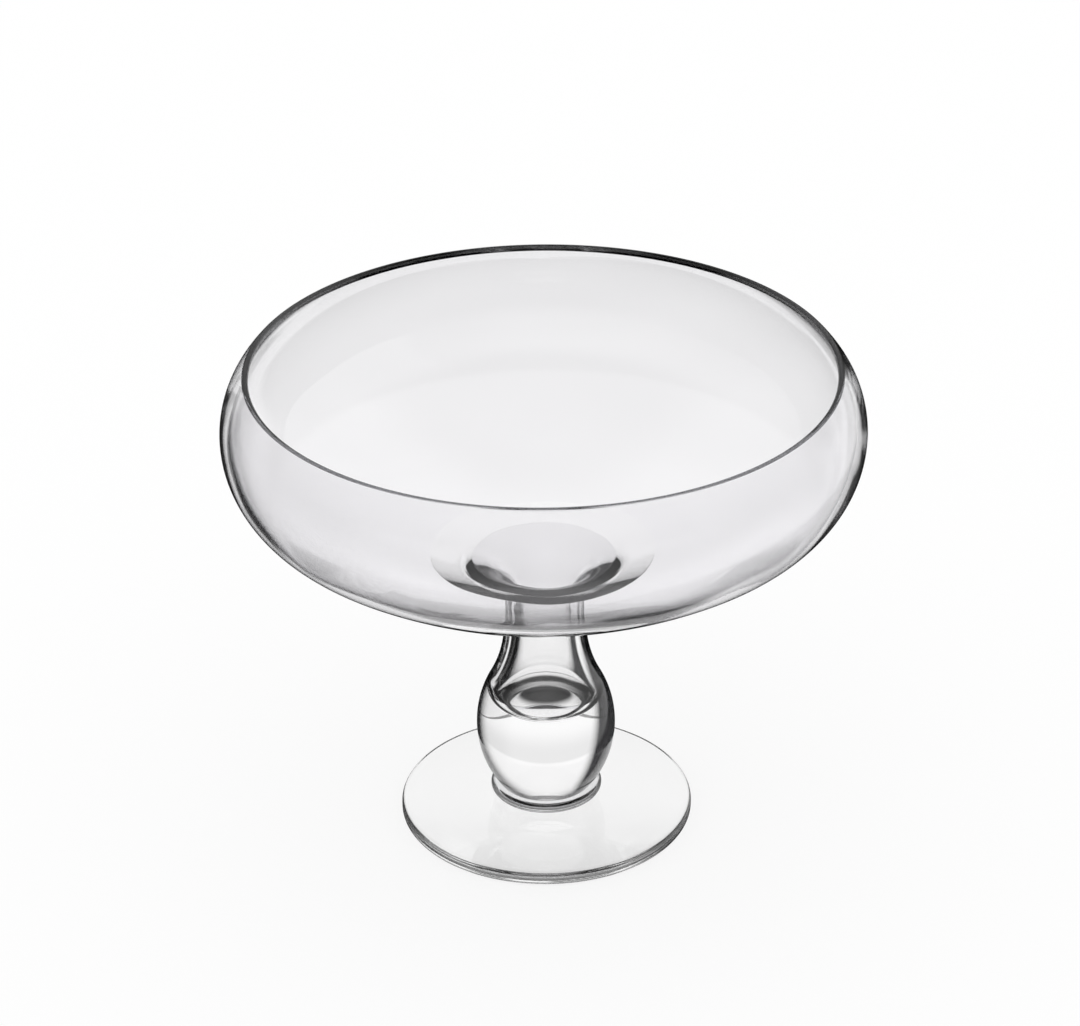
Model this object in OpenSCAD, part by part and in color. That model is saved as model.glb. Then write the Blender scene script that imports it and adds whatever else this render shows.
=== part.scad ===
// Footed fruit bowl in clear glass: a low, round-shouldered bowl on a hollow-necked knop stem
// and a disc foot. Five gathers of glass are joined hot, one on top of the other, on one axis.
// The origin is the centre of the foot's underside, with +Z up. All sizes are millimetres.

/* [Foot] */
// Outside diameter of the foot
foot_d = 118.5; // [90:0.5:150]
// Thickness of the foot at its outer edge
foot_edge_t = 5; // [4.2:0.1:9]
// Radius that rounds the foot's edge, above and below
foot_edge_r = 1.9; // [0.5:0.1:2]
// Rise of the foot's top from its edge to the lower collar
foot_rise = 4.2; // [1:0.1:10]

/* [Lower collar] */
// Outside diameter of the lower collar
lower_collar_d = 45; // [42:0.5:60]
// Height of the lower collar's rounded edge
lower_collar_h = 4.5; // [3:0.1:8]

/* [Stem] */
// Height of the stem
stem_h = 72.8; // [64:0.1:90]
// Widest diameter of the knop
knop_d = 56; // [50:0.5:66]
// Height of the knop's widest point above the stem's base
knop_z = 26.6; // [22:0.1:31]
// Radius of the knop's side in profile
knop_r = 43.8; // [38:0.1:60]
// Narrowest diameter of the neck, at the stem's top
neck_d = 33; // [28:0.5:40]

/* [Air bubble] */
// Thickness of the glass round the bubble in the neck
bubble_wall = 5.8; // [4:0.1:9]
// Height of solid glass under the bubble
bubble_floor_h = 36; // [29:0.5:46]
// Radius between the bubble's floor and its side
bubble_floor_r = 5; // [2:0.5:7]
// Diameter of the bubble's open mouth under the bowl
bubble_mouth_d = 58; // [48:0.5:60]

/* [Upper collar] */
// Diameter at which the upper collar's skirt ends under the bowl
upper_collar_d = 90; // [84:1:100]
// Height of the upper collar on the axis
upper_collar_h = 23.1; // [21:0.1:30]
// Thickness of the skirt's outer lip
upper_collar_lip = 0.3; // [0.2:0.1:1.2]
// Slope of the skirt where it leaves the throat
skirt_slope = 16.2; // [14:0.2:18]
// Slope of the skirt at its lip
lip_slope = 20.6; // [19.6:0.2:26]

/* [Bowl] */
// Widest outside diameter
belly_d = 250; // [220:1:290]
// Height of the bowl from its lowest point to the top of the rim
bowl_h = 90.4; // [82:0.1:110]
// Radius of the rounded shoulder in profile
shoulder_r = 36.7; // [30:0.1:42]
// Angle through which the shoulder turns in above the widest point
rim_angle = 42.2; // [20:0.1:55]
// Wall thickness at the widest point
belly_wall = 3.4; // [2.4:0.1:6]
// Shift of the inner shoulder's centre towards the axis, which thins the wall above and below the belly
wall_thinning = 1.9; // [0:0.1:2.1]
// Thickness of the bowl's floor on the axis
floor_t = 4.2; // [3:0.1:8]

/* [Hidden] */
$fn = 360;
glass = [0.86, 0.88, 0.91, 0.45];
// A reach that clears every outline
reach = 2 * belly_d;
// Arcs that run into each other cross by this much, so that they meet in one clean edge
overlap = 0.002;

// Radius of a floor arc, centred on the axis, that runs into a side arc of radius side_r,
// whose centre is ring_r from the axis and drop above the floor's lowest point
function floor_radius(ring_r, drop, side_r) =
    (ring_r * ring_r + drop * drop - side_r * side_r) / (2 * (drop - side_r));

// Foot: a shallow dome with a rounded edge
foot_r = foot_d / 2;
lower_collar_r = lower_collar_d / 2;
lower_collar_edge_r = lower_collar_h / 2;
seat_r = lower_collar_r - lower_collar_edge_r;
seat_z = foot_edge_t + foot_rise;
dome_z = (seat_r * seat_r - foot_r * foot_r + seat_z * seat_z - foot_edge_t * foot_edge_t)
    / (2 * foot_rise);
dome_r = norm([seat_r, seat_z - dome_z]);
foot_corner_x = foot_r - foot_edge_r;
foot_corner_z = dome_z + sqrt(pow(dome_r - foot_edge_r + overlap, 2) - pow(foot_corner_x, 2));
foot_top_x = foot_corner_x * dome_r / (dome_r - foot_edge_r);

// Stem: a convex knop arc runs into a concave neck arc, which ends upright at the neck
stem_z = seat_z + lower_collar_h;
neck_r = neck_d / 2;
neck_z = stem_z + stem_h;
knop_centre = [knop_d / 2 - knop_r, stem_z + knop_z];
knop_to_neck = [neck_r - knop_centre.x, neck_z - knop_centre.y];
knop_cut_r = knop_r - overlap;
neck_arc_r = (knop_to_neck * knop_to_neck - pow(knop_cut_r, 2)) / (2 * (knop_cut_r - knop_to_neck.x));
neck_centre = [neck_r + neck_arc_r, neck_z];
knop_join = knop_centre + (neck_centre - knop_centre) * knop_r / (knop_r + neck_arc_r);

// Air bubble: follows the neck at one thickness, then turns in to a flat floor
bore_r = neck_r - bubble_wall;
bubble_floor_z = stem_z + bubble_floor_h;
bubble_arc_r = neck_arc_r + bubble_wall;
bubble_turn_z = bubble_floor_z + bubble_floor_r;
bubble_turn_x = neck_centre.x
    - sqrt(pow(bubble_arc_r + bubble_floor_r - overlap, 2) - pow(neck_z - bubble_turn_z, 2));
bubble_turn = [bubble_turn_x, bubble_turn_z];
bubble_join = bubble_turn
    + (neck_centre - bubble_turn) * bubble_floor_r / (bubble_arc_r + bubble_floor_r);

// Bowl, outside: a shoulder arc that runs into a wide floor arc
bowl_z = neck_z + upper_collar_h;
inner_shoulder_r = shoulder_r - belly_wall + wall_thinning;
inner_rim_reach = sqrt(pow(inner_shoulder_r, 2) - pow(wall_thinning * sin(rim_angle), 2))
    - wall_thinning * cos(rim_angle);
bead_reach = (shoulder_r + inner_rim_reach) / 2;
bead_r = shoulder_r - bead_reach + overlap;
ring_r = belly_d / 2 - shoulder_r;
belly_z = bowl_z + bowl_h - bead_r - bead_reach * sin(rim_angle);
floor_r = floor_radius(ring_r, belly_z - bowl_z, shoulder_r - overlap);
floor_centre = [0, bowl_z + floor_r];
// Bowl, inside
inner_bowl_z = bowl_z + floor_t;
inner_ring_r = ring_r - wall_thinning;
inner_floor_r = floor_radius(inner_ring_r, belly_z - inner_bowl_z, inner_shoulder_r - overlap);

// Height of the bowl's underside at a radius
function underside_z(radius) = floor_centre.y - sqrt(pow(floor_r, 2) - pow(radius, 2));

// Upper collar, outside: a hollow throat arc, upright at the neck, that runs into a full skirt arc
upper_collar_r = upper_collar_d / 2;
lip = [upper_collar_r, underside_z(upper_collar_r) - upper_collar_lip];
neck_to_lip = lip - [neck_r, neck_z];
skirt_rise = tan((skirt_slope + lip_slope) / 2);
throat_r = (neck_to_lip.y - neck_to_lip.x * skirt_rise)
    / (cos(skirt_slope) - (1 - sin(skirt_slope)) * skirt_rise);
throat = [neck_r + throat_r, neck_z];
skirt_start = throat + throat_r * [-sin(skirt_slope), cos(skirt_slope)];
skirt_r = (lip.x - skirt_start.x) / (sin(lip_slope) - sin(skirt_slope));
skirt_centre = skirt_start + skirt_r * [-sin(skirt_slope), cos(skirt_slope)];
// Upper collar, inside: an arc from the upright bore out to the mouth
mouth = [bubble_mouth_d / 2, underside_z(bubble_mouth_d / 2)];
mouth_spread = mouth - [bore_r, neck_z];
mouth_arc_r = mouth_spread * mouth_spread / (2 * mouth_spread.x);

// Box between two corners of the profile
module span(low, high) {
    translate(low) square(high - low);
}

// Disc of the profile
module disc(centre, radius) {
    translate(centre) circle(radius);
}

// Turns a profile about the upright axis
module turned() {
    rotate_extrude() children();
}

// All that lies inside the foot's dome, on the profile's side of the axis
module dome() {
    intersection() {
        disc([0, dome_z], dome_r);
        span([0, 0], [foot_r, reach]);
    }
}

// All that lies inside a bowl surface: its floor arc out to the join, then its shoulder arc
module bowl_fill(low_z, side_x, base_r, side_r) {
    join_x = side_x * base_r / (base_r - side_r);
    intersection() {
        disc([0, low_z + base_r], base_r);
        span([0, low_z], [join_x, belly_z]);
    }
    disc([side_x, belly_z], side_r);
}

// Foot disc, flat underneath
module foot() {
    color(glass) turned() {
        intersection() {
            dome();
            span([0, foot_edge_r], [foot_top_x, reach]);
        }
        disc([foot_corner_x, foot_corner_z], foot_edge_r);
        disc([foot_corner_x, foot_edge_r], foot_edge_r);
        span([0, foot_edge_r], [foot_r, foot_corner_z]);
        span([0, 0], [foot_corner_x, foot_corner_z]);
    }
}

// Round-edged wafer of glass between the foot and the stem
module lower_collar() {
    color(glass) turned() difference() {
        union() {
            span([0, seat_z], [seat_r, stem_z]);
            disc([seat_r, seat_z + lower_collar_edge_r], lower_collar_edge_r);
        }
        dome();
    }
}

// Air bubble below the neck's top
module bubble() {
    difference() {
        union() {
            disc(bubble_turn, bubble_floor_r);
            span([0, bubble_floor_z], [bubble_turn.x, reach]);
            span([0, bubble_join.y], [knop_join.x, reach]);
        }
        disc(neck_centre, bubble_arc_r);
    }
}

// Knop and neck, hollow above the middle of the knop
module stem() {
    color(glass) turned() difference() {
        union() {
            intersection() {
                disc(knop_centre, knop_r);
                span([0, stem_z], [reach, neck_z]);
            }
            span([0, knop_join.y], [knop_d / 2, neck_z]);
        }
        disc(neck_centre, neck_arc_r);
        bubble();
    }
}

// Air bubble above the neck's top, open to the bowl's floor
module bubble_mouth() {
    difference() {
        span([0, neck_z], [mouth.x, floor_centre.y]);
        disc([bore_r + mouth_arc_r, neck_z], mouth_arc_r + overlap);
    }
}

// Ring of glass that spreads from the neck into a skirt under the bowl
module upper_collar() {
    color(glass) turned() difference() {
        union() {
            polygon([[0, neck_z], throat, skirt_start, [lip.x, floor_centre.y], floor_centre]);
            intersection() {
                disc(skirt_centre, skirt_r);
                span([skirt_start.x, neck_z], [lip.x, floor_centre.y]);
            }
        }
        disc(throat, throat_r + overlap);
        disc(floor_centre, floor_r);
        bubble_mouth();
    }
}

// Bowl with a round rim, thickest at the belly and in the floor
module bowl() {
    rim = [cos(rim_angle), sin(rim_angle)];
    centre = [ring_r, belly_z];
    color(glass) turned() {
        difference() {
            bowl_fill(bowl_z, ring_r, floor_r, shoulder_r);
            bowl_fill(inner_bowl_z, inner_ring_r, inner_floor_r, inner_shoulder_r);
            polygon([centre, centre + reach * rim, [0, belly_z + reach], [0, belly_z]]);
        }
        disc(centre + bead_reach * rim, bead_r);
    }
}

foot();
lower_collar();
stem();
upper_collar();
bowl();
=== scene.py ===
"""Footed fruit bowl in clear glass: five gathers joined hot on one axis, in a plain white studio.

Lengths are metres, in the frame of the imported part: origin at the middle of the foot's underside, +Z up.
A profile is a list of (radius, height) points. Directions in the world are degrees of azimuth, 0 at the far
side and 90 at the right, and degrees of height above level. Two of them are the ends of a fade, and three
values are the edges of a band and their softness.
"""

import math

import bmesh
import bpy
from mathutils import Matrix, Vector, noise


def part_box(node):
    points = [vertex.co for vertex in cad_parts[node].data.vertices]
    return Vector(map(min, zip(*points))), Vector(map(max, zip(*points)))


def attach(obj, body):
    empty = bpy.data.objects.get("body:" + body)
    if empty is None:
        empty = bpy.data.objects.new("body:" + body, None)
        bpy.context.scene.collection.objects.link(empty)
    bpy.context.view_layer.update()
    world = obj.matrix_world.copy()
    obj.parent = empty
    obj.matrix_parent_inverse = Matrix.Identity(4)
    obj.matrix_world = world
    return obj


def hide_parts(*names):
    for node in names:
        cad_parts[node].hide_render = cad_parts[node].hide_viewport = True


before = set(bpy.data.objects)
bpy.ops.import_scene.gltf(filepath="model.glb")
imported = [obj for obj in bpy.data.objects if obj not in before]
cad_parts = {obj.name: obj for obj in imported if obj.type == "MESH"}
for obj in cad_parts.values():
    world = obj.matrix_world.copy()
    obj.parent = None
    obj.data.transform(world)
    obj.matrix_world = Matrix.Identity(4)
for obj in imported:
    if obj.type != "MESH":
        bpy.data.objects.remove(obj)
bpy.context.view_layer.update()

MM = 0.001
QUARTER = math.pi / 2

# Meshes: faces around the axis, points closer than TOUCH are one, and edges over SHARP stay sharp
AROUND = 288
AROUND_STEP = 2 * math.pi / AROUND
TOUCH = 1e-6
SHARP = math.radians(25)

# Material slots of a piece: its glass, its hot seams, and one more, which is the ground finish under the
# foot, and painted shade on the upper collar's skirt and on the outer part of the bowl's rim bead
GLASS = 0
SEAM = 1
FINISH_AND_PAINTED_SHADE = 2

# Places of the colours among the inputs and outputs of a mix node
MIX_FIRST = 6
MIX_SECOND = 7
MIX_RESULT = 2

# Sizes of the pieces: places from the frame, radii of the arcs as drawn
FOOT_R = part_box("foot")[1].x
FOOT_EDGE_T = 5.0 * MM
FOOT_EDGE_R = 1.9 * MM
FOOT_RINGS = (0, 0.3, 0.6, 0.9)
SEAT_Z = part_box("lower_collar")[0].z
SEAT_R = 20.25 * MM
STEM_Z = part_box("stem")[0].z
NECK_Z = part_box("stem")[1].z
KNOP_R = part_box("stem")[1].x
KNOP_Z = STEM_Z + 26.6 * MM
KNOP_ARC_R = 43.8 * MM
NECK_R = 16.5 * MM
BUBBLE_WALL = 5.8 * MM
BUBBLE_FLOOR_Z = STEM_Z + 36.0 * MM
BUBBLE_FLOOR_R = 5.0 * MM
MOUTH_R = 29.0 * MM
UPPER_COLLAR_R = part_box("upper_collar")[1].x
UPPER_COLLAR_LIP = 0.3 * MM
THROAT_SLOPE = math.radians(50.0)
SKIRT_SLOPE = math.radians(16.2)
LIP_SLOPE = math.radians(20.6)
BOWL_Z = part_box("bowl")[0].z
RIM_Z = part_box("bowl")[1].z
BELLY_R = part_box("bowl")[1].x
SHOULDER_R = 36.7 * MM
RIM_ANGLE = math.radians(42.2)
# Painted shade: the span of the rim bead, from RIM_ANGLE, that takes the dark rim glass
RIM_PAINTED_SHADE = math.radians(108)
BELLY_WALL = 3.4 * MM
WALL_THINNING = 1.9 * MM
FLOOR_T = 4.2 * MM
WAVE_LENGTH = 38.0 * MM
WAVE_HEIGHT = 0.4 * MM
RIM_CALM = 22.0 * MM

# Glass: a ripple is (length, height), and facing goes from 0, seen square on, to 1, seen edge on
IOR = 1.5
RIPPLE = (16.0 * MM, 0.02 * MM)
GROUND_RIPPLE = (1.5 * MM, 0.004 * MM)
STREAK_LENGTH = 30.0 * MM
STREAK_TINT = 0.99
# Painted shade: colours that the glass darkens to where it is seen edge on, in place of dark surroundings
EDGE_PAINTED_SHADE = (0.05, 0.05, 0.055, 1)
STEM_EDGE_PAINTED_SHADE = (0.003, 0.003, 0.0033, 1)
# Painted shade on the +X side of a piece: over this span of X its edge shade starts up to the lead sooner
PAINTED_SHADE_SIDE = (10.0 * MM, 26.0 * MM)
PAINTED_SHADE_SIDE_LEAD = 0.45
# Painted shade inside a surface: a dark matt shader, mixed in near the angle of total reflection
TURNED_BACK = 1 - math.cos(math.asin(1 / IOR))
TURNED_SOFT = 0.02
SHADE = (0.004, 0.004, 0.008, 1)
WHITE = (1, 1, 1, 1)

# World: directions, and levels of light between 0 and 1
BACKDROP = (-32, -20)
BACKDROP_LEVEL = (1.0, 0.84)
HORIZON = (-20, -14)
CEILING = (12, 24)
NADIR = (-72, -66)
NADIR_DEPTH = 5.5
WINDOW = (-40, 56, 5)
WINDOW_TOP = (2, 22)
WINDOW_GLOW = 0.2
FLAGS = ((-46, -33, 3), (-22, -1, 3), (13, 26, 3))
FLAG_HEIGHT = (-40, -12, 4)
FLAG_SHADE = 0.95
GLOW = (-15, 40)
GLOW_LEVEL = 0.65
LAMP = (30, 130, 8)
LAMP_SLANT = 2.5
LAMP_LOW = -10
LAMP_END = (140, 175)
LAMP_LEVEL = 0.9
SWEEP = (100, 130)
SWEEP_HEIGHT = (-45, 10, 8)
SWEEP_LEVEL = 0.9
FRONT = (100, 175)
FRONT_LOW = (-15, 15)
FRONT_LEVEL = 0.5
TABLE = (-60, -50)
TABLE_LEVEL = 0.05
ROOF = (45, 70)
DARK = 0.01

# Floor: SHADOW is the share of its white that takes light and shadow
FLOOR_SIZE = 8.0
FLOOR_GAP = 0.5 * MM
SHADOW = 0.15

# Camera of the photograph
CAMERA = Vector((0, -1.16979, 0.77047))
PITCH = math.radians(28.4753)
YAW = math.radians(-0.0812)
ROLL = math.radians(0.5067)
LENS = 113.06
SENSOR = 36


class Nodes:
    """The node tree of a material or world, emptied, with short ways to add to it."""

    def __init__(self, owner):
        owner.use_nodes = True
        self.tree = owner.node_tree
        self.tree.nodes.clear()

    def fill(self, node, inputs):
        """Each input is (its name or place, a value or the output that feeds it)."""
        for key, value in inputs:
            if isinstance(value, bpy.types.NodeSocket):
                self.tree.links.new(value, node.inputs[key])
            else:
                node.inputs[key].default_value = value

    def add(self, kind, inputs=()):
        """New shader node with these inputs."""
        node = self.tree.nodes.new("ShaderNode" + kind)
        self.fill(node, inputs)
        return node

    def axes(self, space):
        """X, Y and Z of the coordinates of a space."""
        coords = self.add("TexCoord").outputs[space]
        return self.add("SeparateXYZ", [("Vector", coords)]).outputs

    def noise(self, length, detail):
        """Noise fixed to the piece, with features of about this length."""
        coords = self.add("TexCoord").outputs["Object"]
        inputs = [("Vector", coords), ("Scale", 1 / length), ("Detail", detail)]
        return self.add("TexNoise", inputs).outputs["Fac"]

    def calc(self, operation, *values):
        node = self.add("Math", enumerate(values))
        node.operation = operation
        return node.outputs["Value"]

    def product(self, first, *others):
        for other in others:
            first = self.calc("MULTIPLY", first, other)
        return first

    def largest(self, first, *others):
        for other in others:
            first = self.calc("MAXIMUM", first, other)
        return first

    def blend(self, share, first, second):
        """Goes from the first value to the second as the share goes from 0 to 1."""
        change = self.calc("SUBTRACT", second, first)
        return self.calc("ADD", first, self.product(share, change))

    def ramp(self, value, low, high, at_low=0.0, at_high=1.0, curve="SMOOTHSTEP"):
        """Fades from one level to another as the value goes from low to high."""
        ends = [("From Min", low), ("From Max", high), ("To Min", at_low), ("To Max", at_high)]
        node = self.add("MapRange", [("Value", value), *ends])
        node.interpolation_type = curve
        return node.outputs["Result"]

    def band(self, value, low, high, soft):
        """1 between two edges and 0 outside them, with soft edges."""
        rise = self.ramp(value, low - soft, low + soft)
        fall = self.ramp(value, high - soft, high + soft, 1, 0)
        return self.product(rise, fall)

    def mix_colours(self, share, first, second):
        node = self.add("Mix")
        node.data_type = "RGBA"
        self.fill(node, [("Factor", share), (MIX_FIRST, first), (MIX_SECOND, second)])
        return node.outputs[MIX_RESULT]

    def mix_shaders(self, share, first, second):
        return self.add("MixShader", [("Fac", share), (1, first), (2, second)]).outputs["Shader"]


# Materials
def new_material(name):
    material = bpy.data.materials.new(name)
    return material, Nodes(material)


def glass(name, tint, edge, painted_edge_shade=EDGE_PAINTED_SHADE, ripple=RIPPLE, painted_shade_side=False, painted_inner_shade=False):
    """Clear glass with faint ripples and streaks, and painted shade: it darkens to the edge colour where it
    is seen edge on.

    The edge is the facing at which the painted shade starts and ends. It starts sooner on a painted shade
    side, at +X.
    With painted inner shade, a dark matt shader is mixed in where rays inside the glass meet the surface near
    the angle at which it would turn them back.
    """
    material, nodes = new_material(name)
    facing = nodes.add("LayerWeight").outputs["Facing"]
    edge_on = facing
    # Painted shade: the +X side darkens at its edges sooner
    if painted_shade_side:
        lead = nodes.ramp(nodes.axes("Object")["X"], *PAINTED_SHADE_SIDE, 0, PAINTED_SHADE_SIDE_LEAD, "LINEAR")
        edge_on = nodes.calc("ADD", facing, lead)
    streak_tint = [part * STREAK_TINT for part in tint]
    streaks = nodes.mix_colours(nodes.noise(STREAK_LENGTH, detail=3), (*tint, 1), (*streak_tint, 1))
    # Painted shade: the colour darkens towards the edge colour as the glass is seen more edge on
    colour = nodes.mix_colours(nodes.ramp(edge_on, *edge), streaks, painted_edge_shade)
    ripple_length, ripple_height = ripple
    ripples = nodes.noise(ripple_length, detail=1)
    bump = nodes.add("Bump", [("Distance", ripple_height), ("Height", ripples)])
    shader = nodes.add(
        "BsdfPrincipled",
        [
            ("Base Color", colour),
            ("Roughness", 0.0),
            ("IOR", IOR),
            ("Transmission Weight", 1.0),
            ("Normal", bump.outputs["Normal"]),
        ],
    )
    surface = shader.outputs["BSDF"]
    # Painted shade in place of what the surface would mirror back into the glass
    if painted_inner_shade:
        turned_back = nodes.ramp(facing, TURNED_BACK, TURNED_BACK + TURNED_SOFT, curve="LINEAR")
        from_inside = nodes.add("NewGeometry").outputs["Backfacing"]
        shade = nodes.add("BsdfDiffuse", [("Color", SHADE)]).outputs["BSDF"]
        surface = nodes.mix_shaders(nodes.product(turned_back, from_inside), surface, shade)
    nodes.add("OutputMaterial", [("Surface", surface)])
    return material


def seam():
    """The faces where two gathers have fused, which bend no light."""
    material, nodes = new_material("hot_seam")
    clear = nodes.add("BsdfTransparent").outputs["BSDF"]
    nodes.add("OutputMaterial", [("Surface", clear)])
    return material


# The edge pair of each glass is where its painted edge shade starts and ends
foot_glass = glass("foot_glass", (1.0, 1.0, 1.0), (0.86, 1.0))
ground_glass = glass("ground_glass", (1.0, 1.0, 1.0), (0.75, 0.95), ripple=GROUND_RIPPLE)
collar_glass = glass("collar_glass", (0.95, 0.95, 0.97), (0.3, 0.75))
stem_glass = glass("stem_glass", (1.0, 0.998, 1.0), (0.48, 0.74), STEM_EDGE_PAINTED_SHADE, painted_shade_side=True)
throat_glass = glass("throat_glass", (1.0, 0.998, 1.0), (0.60, 0.85))
skirt_glass = glass("skirt_glass", (1.0, 0.998, 1.0), (0.60, 0.85), painted_inner_shade=True)
bowl_glass = glass("bowl_glass", (0.992, 0.987, 1.0), (0.76, 0.93))
# Painted shade: greyer glass whose edge shade starts at once, so the rim bead looks dark
painted_dark_rim_glass = glass("painted_dark_rim_glass", (0.9, 0.9, 0.92), (0.0, 0.25))
seam_glass = seam()


# Profiles
def arc(centre, radius, start, end, steps):
    """Points on a circle, from one angle to another, both ends included."""
    turns = [start + (end - start) * i / steps for i in range(steps + 1)]
    return [(centre[0] + radius * math.cos(t), centre[1] + radius * math.sin(t)) for t in turns]


def angle_to(centre, point):
    return math.atan2(point[1] - centre[1], point[0] - centre[0])


def floor_radius(ring_r, drop, side_r):
    """Radius of a floor arc on the axis that runs into a side arc."""
    return (ring_r**2 + drop**2 - side_r**2) / (2 * (drop - side_r))


def turned_point(bm, r, z):
    """Vertices of a profile's point, all around the axis, or one vertex on the axis."""
    if r < TOUCH:
        return [bm.verts.new((0, 0, z))]
    turns = [i * AROUND_STEP for i in range(AROUND)]
    return [bm.verts.new((r * math.cos(t), r * math.sin(t), z)) for t in turns]


def lathe(name, runs, materials):
    """Turns a profile about the Z axis. Each run is (points, slot of the faces that it sweeps)."""
    points = []
    slots = []
    for run, slot in runs:
        start = 1 if points and math.dist(points[-1], run[0]) < TOUCH else 0
        for point in run[start:]:
            if points:
                slots.append(slot)
            points.append(point)
    bm = bmesh.new()
    rings = [turned_point(bm, r, z) for r, z in points]
    if math.dist(points[0], points[-1]) < TOUCH:
        for vert in rings[-1]:
            bm.verts.remove(vert)
        rings[-1] = rings[0]
    for low, high, slot in zip(rings, rings[1:], slots):
        for i in range(AROUND):
            j = (i + 1) % AROUND
            corners = [low[i % len(low)], low[j % len(low)], high[j % len(high)], high[i % len(high)]]
            face = bm.faces.new(list(dict.fromkeys(corners)))
            face.material_index = slot
            face.smooth = True
    bmesh.ops.recalc_face_normals(bm, faces=bm.faces)
    bm.normal_update()
    for edge in bm.edges:
        if edge.calc_face_angle(0) > SHARP:
            edge.smooth = False
    mesh = bpy.data.meshes.new(name)
    bm.to_mesh(mesh)
    bm.free()
    for material in materials:
        mesh.materials.append(material)
    made = bpy.data.objects.new(name, mesh)
    bpy.context.collection.objects.link(made)
    return made


def piece(name, node, slot, runs, *materials):
    """Turned piece of glass that stands for a node of the frame."""
    made = lathe(name, runs, materials)
    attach(made, "root")
    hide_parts(node)
    return made


# Foot
dome_z = (SEAT_R**2 - FOOT_R**2 + SEAT_Z**2 - FOOT_EDGE_T**2) / (2 * (SEAT_Z - FOOT_EDGE_T))
dome_r = math.hypot(SEAT_R, SEAT_Z - dome_z)
dome = (0, dome_z)
corner_r = FOOT_R - FOOT_EDGE_R
corner = (corner_r, dome_z + math.sqrt((dome_r - FOOT_EDGE_R) ** 2 - corner_r**2))
low_corner = (corner_r, FOOT_EDGE_R)
corner_angle = angle_to(dome, corner)
seat_angle = angle_to(dome, (SEAT_R, SEAT_Z))
underside = [(share * FOOT_R, 0) for share in FOOT_RINGS]
piece(
    "foot_disc",
    "foot",
    "foot_glass",
    [
        ([*underside, (corner_r, 0)], FINISH_AND_PAINTED_SHADE),
        (arc(low_corner, FOOT_EDGE_R, -QUARTER, 0, steps=10), GLASS),
        (arc(corner, FOOT_EDGE_R, 0, corner_angle, steps=10), GLASS),
        (arc(dome, dome_r, corner_angle, seat_angle, steps=30), GLASS),
        (arc(dome, dome_r, seat_angle, QUARTER, steps=8), SEAM),
    ],
    foot_glass,
    seam_glass,
    ground_glass,
)

# Lower collar
edge_r = (STEM_Z - SEAT_Z) / 2
knop = (KNOP_R - KNOP_ARC_R, KNOP_Z)
base_r = knop[0] + math.sqrt(KNOP_ARC_R**2 - (KNOP_Z - STEM_Z) ** 2)
stem_base = [(0, STEM_Z), (base_r / 2, STEM_Z), (base_r, STEM_Z)]
piece(
    "lower_collar_wafer",
    "lower_collar",
    "stem_glass",
    [
        (arc(dome, dome_r, QUARTER, seat_angle, steps=8), SEAM),
        (arc((SEAT_R, SEAT_Z + edge_r), edge_r, -QUARTER, QUARTER, steps=24), GLASS),
        ([(SEAT_R, STEM_Z), (base_r, STEM_Z)], GLASS),
        (stem_base[::-1], SEAM),
    ],
    collar_glass,
    seam_glass,
)

# Stem
to_neck = (NECK_R - knop[0], NECK_Z - KNOP_Z)
neck_arc_r = (to_neck[0] ** 2 + to_neck[1] ** 2 - KNOP_ARC_R**2) / (2 * (KNOP_ARC_R - to_neck[0]))
neck = (NECK_R + neck_arc_r, NECK_Z)
knop_start = angle_to(knop, (base_r, STEM_Z))
knop_join = angle_to(knop, neck)
bore_r = NECK_R - BUBBLE_WALL
bubble_arc_r = neck_arc_r + BUBBLE_WALL
turn_z = BUBBLE_FLOOR_Z + BUBBLE_FLOOR_R
turn_r = neck[0] - math.sqrt((bubble_arc_r + BUBBLE_FLOOR_R) ** 2 - (NECK_Z - turn_z) ** 2)
turn = (turn_r, turn_z)
bubble_join = angle_to(turn, neck)
piece(
    "knop_stem",
    "stem",
    "stem_glass",
    [
        (stem_base, SEAM),
        (arc(knop, KNOP_ARC_R, knop_start, knop_join, steps=60), GLASS),
        (arc(neck, neck_arc_r, knop_join - math.pi, -math.pi, steps=40), GLASS),
        ([(NECK_R, NECK_Z), (bore_r, NECK_Z)], SEAM),
        (arc(neck, bubble_arc_r, -math.pi, bubble_join - math.pi, steps=48), GLASS),
        (arc(turn, BUBBLE_FLOOR_R, bubble_join, -QUARTER, steps=24), GLASS),
        ([(turn_r, BUBBLE_FLOOR_Z), (turn_r / 2, BUBBLE_FLOOR_Z), (0, BUBBLE_FLOOR_Z)], GLASS),
    ],
    stem_glass,
    seam_glass,
)

# Bowl arcs
rim_way = (math.cos(RIM_ANGLE), math.sin(RIM_ANGLE))
inner_shoulder_r = SHOULDER_R - BELLY_WALL + WALL_THINNING
inner_chord = math.sqrt(inner_shoulder_r**2 - (WALL_THINNING * rim_way[1]) ** 2)
inner_reach = inner_chord - WALL_THINNING * rim_way[0]
bead_reach = (SHOULDER_R + inner_reach) / 2
bead_r = SHOULDER_R - bead_reach
ring_r = BELLY_R - SHOULDER_R
belly_z = RIM_Z - bead_r - bead_reach * rim_way[1]
shoulder = (ring_r, belly_z)
inner_shoulder = (ring_r - WALL_THINNING, belly_z)
bead = (ring_r + bead_reach * rim_way[0], belly_z + bead_reach * rim_way[1])
inner_rim = (ring_r + inner_reach * rim_way[0], belly_z + inner_reach * rim_way[1])
floor_r = floor_radius(ring_r, belly_z - BOWL_Z, SHOULDER_R)
inner_floor_r = floor_radius(inner_shoulder[0], belly_z - BOWL_Z - FLOOR_T, inner_shoulder_r)
floor = (0, BOWL_Z + floor_r)
inner_floor = (0, BOWL_Z + FLOOR_T + inner_floor_r)
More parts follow.
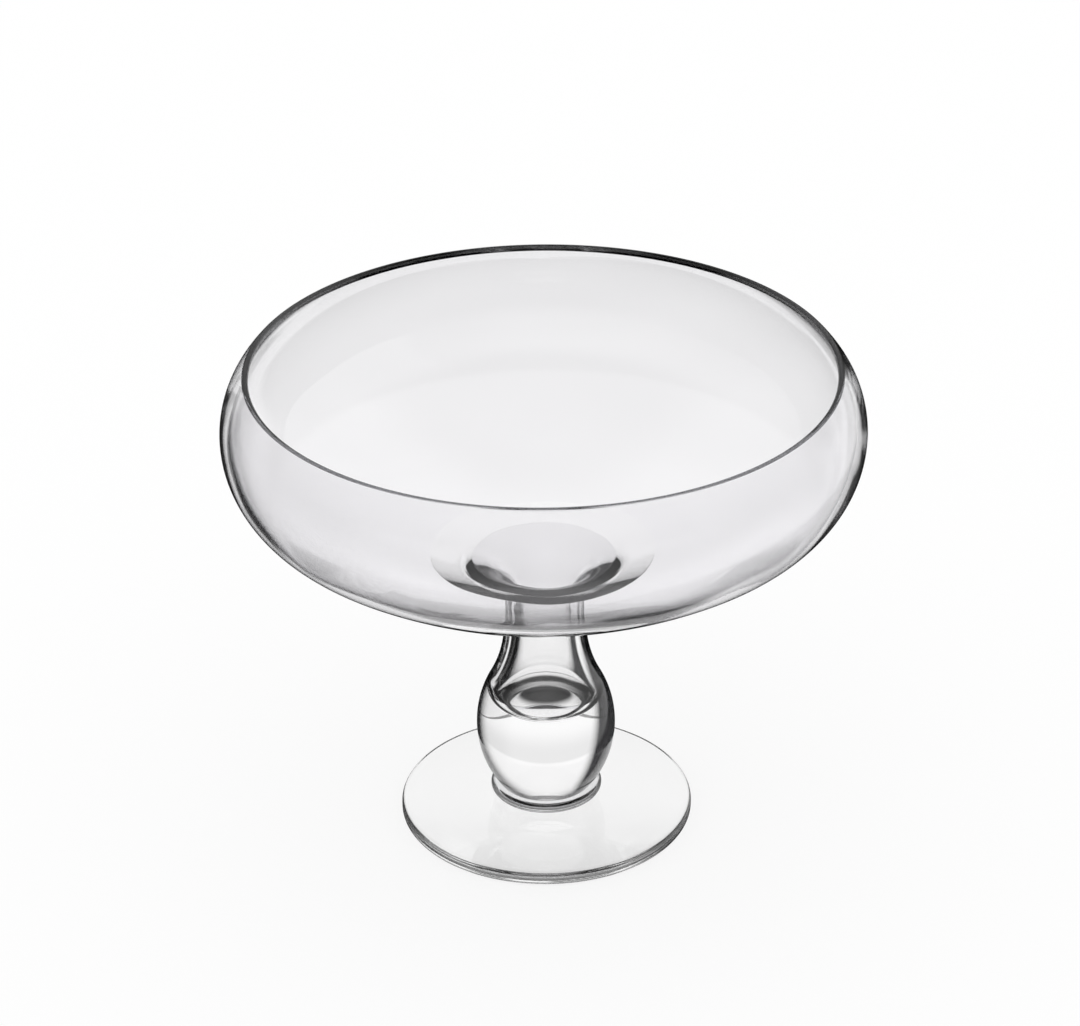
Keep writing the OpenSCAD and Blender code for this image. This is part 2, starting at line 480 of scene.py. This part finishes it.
lip = (UPPER_COLLAR_R, floor[1] - math.sqrt(floor_r**2 - UPPER_COLLAR_R**2))
mouth = (MOUTH_R, floor[1] - math.sqrt(floor_r**2 - MOUTH_R**2))
lip_angle = angle_to(floor, lip)
mouth_angle = angle_to(floor, mouth)

# Upper collar
skirt_end = (UPPER_COLLAR_R, lip[1] - UPPER_COLLAR_LIP)
to_lip = (skirt_end[0] - NECK_R, skirt_end[1] - NECK_Z)
skirt_rise = math.tan((SKIRT_SLOPE + LIP_SLOPE) / 2)
throat_share = math.cos(SKIRT_SLOPE) - (1 - math.sin(SKIRT_SLOPE)) * skirt_rise
throat_r = (to_lip[1] - to_lip[0] * skirt_rise) / throat_share
throat = (NECK_R + throat_r, NECK_Z)
throat_end = throat[0] - throat_r * math.sin(SKIRT_SLOPE)
skirt_r = (UPPER_COLLAR_R - throat_end) / (math.sin(LIP_SLOPE) - math.sin(SKIRT_SLOPE))
skirt = (skirt_end[0] - skirt_r * math.sin(LIP_SLOPE), skirt_end[1] + skirt_r * math.cos(LIP_SLOPE))
spread = (MOUTH_R - bore_r, mouth[1] - NECK_Z)
mouth_arc_r = (spread[0] ** 2 + spread[1] ** 2) / (2 * spread[0])
mouth_centre = (bore_r + mouth_arc_r, NECK_Z)
piece(
    "upper_collar_ring",
    "upper_collar",
    "stem_glass",
    [
        (arc(mouth_centre, mouth_arc_r, angle_to(mouth_centre, mouth), math.pi, steps=40), GLASS),
        ([(bore_r, NECK_Z), (NECK_R, NECK_Z)], SEAM),
        (arc(throat, throat_r, math.pi, QUARTER + THROAT_SLOPE, steps=28), GLASS),
        (arc(throat, throat_r, QUARTER + THROAT_SLOPE, QUARTER + SKIRT_SLOPE, steps=28), FINISH_AND_PAINTED_SHADE),
        (arc(skirt, skirt_r, SKIRT_SLOPE - QUARTER, LIP_SLOPE - QUARTER, steps=24), FINISH_AND_PAINTED_SHADE),
        ([skirt_end, lip], SEAM),
        (arc(floor, floor_r, lip_angle, mouth_angle, steps=16), SEAM),
    ],
    throat_glass,
    seam_glass,
    skirt_glass,
)

# Bowl
shoulder_start = angle_to(floor, shoulder)
inner_start = angle_to(inner_floor, inner_shoulder)
inner_end = angle_to(inner_shoulder, inner_rim)
bead_end = RIM_ANGLE + math.pi
rim_shade_end = RIM_ANGLE + RIM_PAINTED_SHADE
bowl = piece(
    "blown_bowl",
    "bowl",
    "bowl_glass",
    [
        (arc(floor, floor_r, -QUARTER, mouth_angle, steps=10), GLASS),
        (arc(floor, floor_r, mouth_angle, lip_angle, steps=16), SEAM),
        (arc(floor, floor_r, lip_angle, shoulder_start, steps=30), GLASS),
        (arc(shoulder, SHOULDER_R, shoulder_start, RIM_ANGLE, steps=60), GLASS),
        # Outer part of the rim bead, with painted shade
        (arc(bead, bead_r, RIM_ANGLE, rim_shade_end, steps=14), FINISH_AND_PAINTED_SHADE),
        (arc(bead, bead_r, rim_shade_end, bead_end, steps=10), GLASS),
        (arc(inner_shoulder, inner_shoulder_r, inner_end, inner_start, steps=60), GLASS),
        (arc(inner_floor, inner_floor_r, inner_start, -QUARTER, steps=44), GLASS),
    ],
    bowl_glass,
    seam_glass,
    painted_dark_rim_glass,
)

# Faint waves from blowing on the bowl's inside, which fade out towards the rim
middle = Vector((0, 0, belly_z))
normals = [vert.normal.copy() for vert in bowl.data.vertices]
for vert, normal in zip(bowl.data.vertices, normals):
    if normal.dot(vert.co - middle) < 0:
        calm = min(max((bead[1] - vert.co.z) / RIM_CALM, 0), 1)
        vert.co += normal * WAVE_HEIGHT * calm * noise.noise(vert.co / WAVE_LENGTH)

# Floor: white to the camera, clear to the rays that leave the glass
bpy.ops.mesh.primitive_plane_add(size=FLOOR_SIZE, location=(0, 0, -FLOOR_GAP))
ground = bpy.context.object
ground.name = "floor"
ground_material, ground_nodes = new_material("studio_floor")
camera_ray = ground_nodes.add("LightPath").outputs["Is Camera Ray"]
emission = ground_nodes.add("Emission").outputs["Emission"]
matt = ground_nodes.add("BsdfDiffuse", [("Color", WHITE)]).outputs["BSDF"]
clear = ground_nodes.add("BsdfTransparent").outputs["BSDF"]
white = ground_nodes.mix_shaders(SHADOW, emission, matt)
ground_nodes.add("OutputMaterial", [("Surface", ground_nodes.mix_shaders(camera_ray, clear, white))])
ground.data.materials.append(ground_material)

# World: the studio, by direction
world = bpy.data.worlds.new("studio")
bpy.context.scene.world = world
sky = Nodes(world)
path = sky.add("LightPath").outputs
direction = sky.axes("Generated")
azimuth = sky.calc("DEGREES", sky.calc("ARCTAN2", direction["X"], direction["Y"]))
height = sky.calc("DEGREES", sky.calc("ARCSINE", direction["Z"]))
from_far_side = sky.calc("ABSOLUTE", azimuth)
below_roof = sky.ramp(height, *ROOF, 1, 0)

# Seen through the glass: a backdrop, dark above and, after many walls, straight below
backdrop = sky.largest(sky.ramp(height, *BACKDROP, *BACKDROP_LEVEL), sky.ramp(height, *HORIZON))
few_walls = sky.calc("LESS_THAN", path["Transmission Depth"], NADIR_DEPTH)
nadir = sky.largest(sky.ramp(height, *NADIR), few_walls)
through = sky.product(sky.ramp(height, *CEILING, 1, 0), backdrop, nadir)

# Mirrored by either side of the glass: the front of the room and the table
front = sky.product(sky.ramp(from_far_side, *FRONT, 0, FRONT_LEVEL), sky.ramp(height, *FRONT_LOW), below_roof)
around = sky.largest(front, sky.ramp(height, *TABLE, TABLE_LEVEL, 0))

# Mirrored inside the glass: a bright window, with dark flags in it
flags = sky.largest(*[sky.band(azimuth, *flag) for flag in FLAGS])
flags = sky.product(flags, sky.band(height, *FLAG_HEIGHT), FLAG_SHADE)
window = sky.product(sky.ramp(height, *WINDOW_TOP, 1, WINDOW_GLOW), below_roof, sky.band(azimuth, *WINDOW))
trapped = sky.largest(sky.product(window, sky.calc("SUBTRACT", 1, flags)), around)

# Mirrored by the outside of the glass: a glow above, a lamp at the right and a sweep in front
glow = sky.product(sky.ramp(height, *GLOW, 0, GLOW_LEVEL), below_roof)
drop = sky.calc("MINIMUM", sky.calc("SUBTRACT", height, LAMP_LOW), 0)
leaning = sky.calc("ADD", azimuth, sky.product(drop, LAMP_SLANT))
lamp = sky.product(sky.band(leaning, *LAMP), sky.ramp(azimuth, *LAMP_END, LAMP_LEVEL, 0), below_roof)
sweep = sky.product(sky.ramp(from_far_side, *SWEEP), sky.band(height, *SWEEP_HEIGHT), SWEEP_LEVEL)
outer = sky.largest(glow, lamp, around, sweep)

# Level of each ray, which is white for the camera and for the light on the floor
mirror = sky.blend(sky.calc("MINIMUM", path["Transmission Depth"], 1), outer, trapped)
level = sky.blend(sky.calc("MINIMUM", path["Glossy Depth"], 1), through, mirror)
level = sky.largest(level, DARK, path["Is Camera Ray"], path["Is Diffuse Ray"])
background = sky.add("Background", [("Color", WHITE), ("Strength", level)])
sky.add("OutputWorld", [("Surface", background.outputs["Background"])])

# Camera
upright = Vector((0, 0, 1))
level_right = Vector((math.cos(YAW), -math.sin(YAW), 0))
level_ahead = Vector((math.sin(YAW), math.cos(YAW), 0))
ahead = math.cos(PITCH) * level_ahead - math.sin(PITCH) * upright
upward = math.sin(PITCH) * level_ahead + math.cos(PITCH) * upright
right_axis = math.cos(ROLL) * level_right - math.sin(ROLL) * upward
up_axis = math.sin(ROLL) * level_right + math.cos(ROLL) * upward
camera_data = bpy.data.cameras.new("camera")
camera_data.sensor_width = SENSOR
camera_data.lens = LENS
camera = bpy.data.objects.new("camera", camera_data)
bpy.context.collection.objects.link(camera)
camera_turn = Matrix((right_axis, up_axis, -ahead)).transposed().to_4x4()
camera.matrix_world = Matrix.Translation(CAMERA) @ camera_turn
bpy.context.scene.camera = camera

# View, with enough bounces for the light that runs round inside the bowl's wall
bpy.context.scene.view_settings.view_transform = "Standard"
bpy.context.scene.cycles.max_bounces = 80
bpy.context.scene.cycles.transmission_bounces = 24
bpy.context.scene.cycles.glossy_bounces = 64
